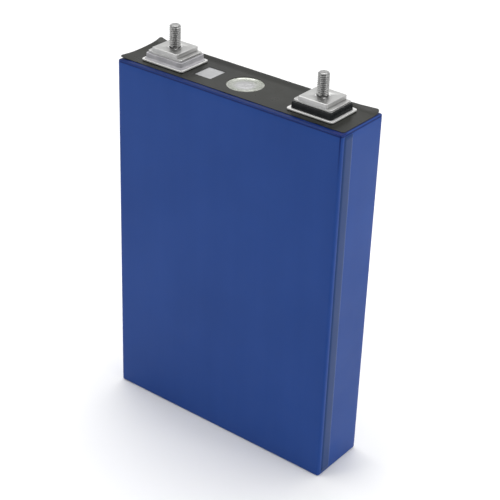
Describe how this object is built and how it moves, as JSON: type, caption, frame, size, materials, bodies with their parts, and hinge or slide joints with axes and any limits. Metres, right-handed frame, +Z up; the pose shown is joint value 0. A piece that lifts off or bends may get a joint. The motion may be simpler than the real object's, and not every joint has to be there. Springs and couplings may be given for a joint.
{
  "type": "prismatic battery cell",
  "caption": "Upright prismatic cell: aluminium can in blue film, black top sheet, round burst vent, stepped square terminals with threaded studs",
  "frame": {"origin": "centre of the underside, on the surface the cell stands on", "axes": "+X along the wide side from the positive to the negative terminal, +Y through the thin side from front to back, +Z up"},
  "size_m": [0.1412, 0.035, 0.2198],
  "materials": {
    "film": "satin blue heat-shrunk insulating film",
    "can": "deep-drawn aluminium",
    "lid": "brushed aluminium plate",
    "sheet": "matte black insulating sheet",
    "vent": "thin scored aluminium, slightly mottled",
    "seal": "moulded sealing rubber",
    "bag": "thin milky plastic",
    "winding": "white separator wound over the electrodes",
    "seat": "pressed aluminium with a rounded lip",
    "insulator_grey": "moulded grey plastic",
    "insulator_black": "glossy black moulded plastic",
    "terminal": "satin machined aluminium",
    "stud": "bright steel thread",
    "weld": "bright weld bead",
    "aluminium_foil": "bright aluminium",
    "copper": "bright copper"
  },
  "bodies": {
    "root": {"film_wrap": "film", "film_overlap": "film", "can_shell": "can", "lid_plate": "lid", "top_sheet": "sheet", "vent_disc": "vent", "fill_plug": "seal", "fill_cap": "lid", "cell_bag": "bag", "bottom_pad": "bag", "winding_front": "winding", "winding_rear": "winding", "terminal_seat_positive": "seat", "terminal_insulator_positive": "insulator_grey", "terminal_base_positive": "terminal", "terminal_pad_positive": "terminal", "terminal_stud_positive": "stud", "stud_weld_positive": "weld", "terminal_post_positive": "aluminium_foil", "post_seal_positive": "seal", "inner_insulator_positive": "insulator_black", "current_collector_positive": "aluminium_foil", "foil_tabs_front_positive": "aluminium_foil", "foil_tabs_rear_positive": "aluminium_foil", "terminal_seat_negative": "seat", "terminal_insulator_negative": "insulator_black", "terminal_base_negative": "terminal", "terminal_pad_negative": "terminal", "terminal_stud_negative": "stud", "stud_weld_negative": "weld", "terminal_post_negative": "copper", "post_seal_negative": "seal", "inner_insulator_negative": "insulator_black", "current_collector_negative": "copper", "foil_tabs_front_negative": "copper", "foil_tabs_rear_negative": "copper"}
  },
  "joints": []
}
